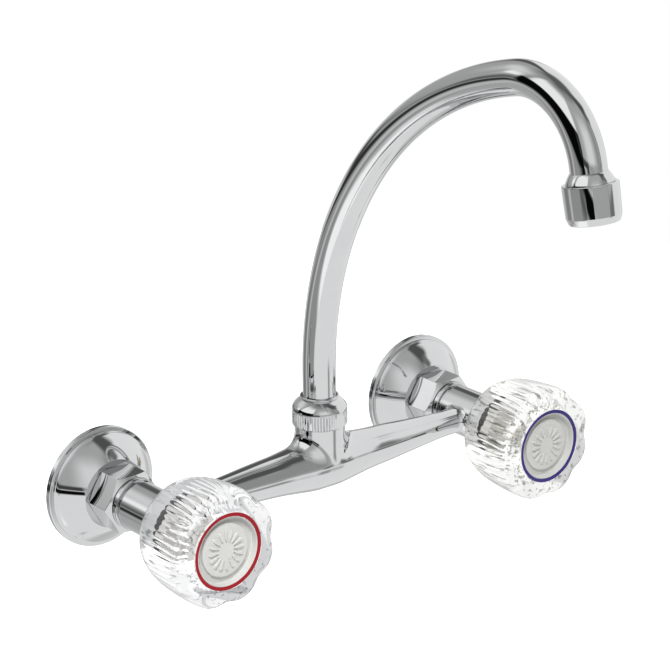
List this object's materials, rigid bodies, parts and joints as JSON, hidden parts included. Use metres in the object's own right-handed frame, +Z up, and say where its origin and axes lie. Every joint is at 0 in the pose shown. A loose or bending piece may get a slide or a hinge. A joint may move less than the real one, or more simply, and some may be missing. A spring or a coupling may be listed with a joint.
{
  "type": "wall-mounted laundry faucet",
  "caption": "Chrome wall-mounted laundry faucet: crossbar mixer body on two wall unions, fluted clear hot and cold knobs, high swinging spout with aerator.",
  "frame": {"origin": "wall plane, midway between the centres of the two supply studs", "axes": "+Z up, +Y into the wall, +X towards the cold side; the faucet stands out along -Y"},
  "size_m": [0.2646, 0.2663, 0.2653],
  "materials": {
    "chrome": "mirror polished chrome plate on brass",
    "nickel": "nickel plate on brass, satin",
    "brass": "machined brass",
    "rubber": "moulded rubber",
    "nylon": "moulded nylon",
    "clear_acrylic": "clear moulded acrylic, polished",
    "red_plastic": "dark red gloss plastic",
    "blue_plastic": "dark blue gloss plastic",
    "grey_plastic": "light warm grey satin plastic",
    "steel": "stainless steel"
  },
  "bodies": {
    "mixer": {"mixer_body": "chrome", "hot_flange": "chrome", "hot_shank": "brass", "hot_union_nut": "chrome", "hot_union_washer": "rubber", "hot_tailpiece": "brass", "hot_bonnet": "nickel", "hot_bonnet_washer": "rubber", "hot_stem_seal": "rubber", "cold_flange": "chrome", "cold_shank": "brass", "cold_union_nut": "chrome", "cold_union_washer": "rubber", "cold_tailpiece": "brass", "cold_bonnet": "nickel", "cold_bonnet_washer": "rubber", "cold_stem_seal": "rubber", "spout_nut": "chrome", "friction_ring": "nylon"},
    "spout": {"spout_tube": "chrome", "spout_ferrule": "brass", "spout_orings": "rubber", "spout_outlet": "chrome", "aerator_housing": "chrome", "aerator_gasket": "rubber", "aerator_cartridge": "nylon", "aerator_screen": "steel"},
    "hot_valve": {"hot_plunger": "brass", "hot_seat_washer": "rubber", "hot_washer_screw": "brass"},
    "hot_handle": {"hot_spindle": "nickel", "hot_knob": "clear_acrylic", "hot_index_ring": "red_plastic", "hot_index_cap": "grey_plastic", "hot_knob_screw": "steel"},
    "cold_valve": {"cold_plunger": "brass", "cold_seat_washer": "rubber", "cold_washer_screw": "brass"},
    "cold_handle": {"cold_spindle": "nickel", "cold_knob": "clear_acrylic", "cold_index_ring": "blue_plastic", "cold_index_cap": "grey_plastic", "cold_knob_screw": "steel"}
  },
  "joints": [
    {"name": "spout_swivel", "type": "hinge", "parent": "mixer", "child": "spout", "pos_m": [0, -0.04785, 0.03], "axis": [0, 0, 1], "range_deg": [-90, 90]},
    {"name": "hot_knob_turn", "type": "hinge", "parent": "mixer", "child": "hot_handle", "pos_m": [-0.1015, -0.085, 0], "axis": [0, -1, 0], "range_deg": [0, 540]},
    {"name": "hot_valve_lift", "type": "slide", "parent": "mixer", "child": "hot_valve", "axis": [0, -1, 0], "range_m": [0, 0.003]},
    {"name": "cold_knob_turn", "type": "hinge", "parent": "mixer", "child": "cold_handle", "pos_m": [0.1015, -0.085, 0], "axis": [0, -1, 0], "range_deg": [0, 540]},
    {"name": "cold_valve_lift", "type": "slide", "parent": "mixer", "child": "cold_valve", "axis": [0, -1, 0], "range_m": [0, 0.003]}
  ],
  "couplings": [
    {"joint": "hot_valve_lift", "follows": "hot_knob_turn", "m_per_rad": 0.00031831},
    {"joint": "cold_valve_lift", "follows": "cold_knob_turn", "m_per_rad": 0.00031831}
  ]
}
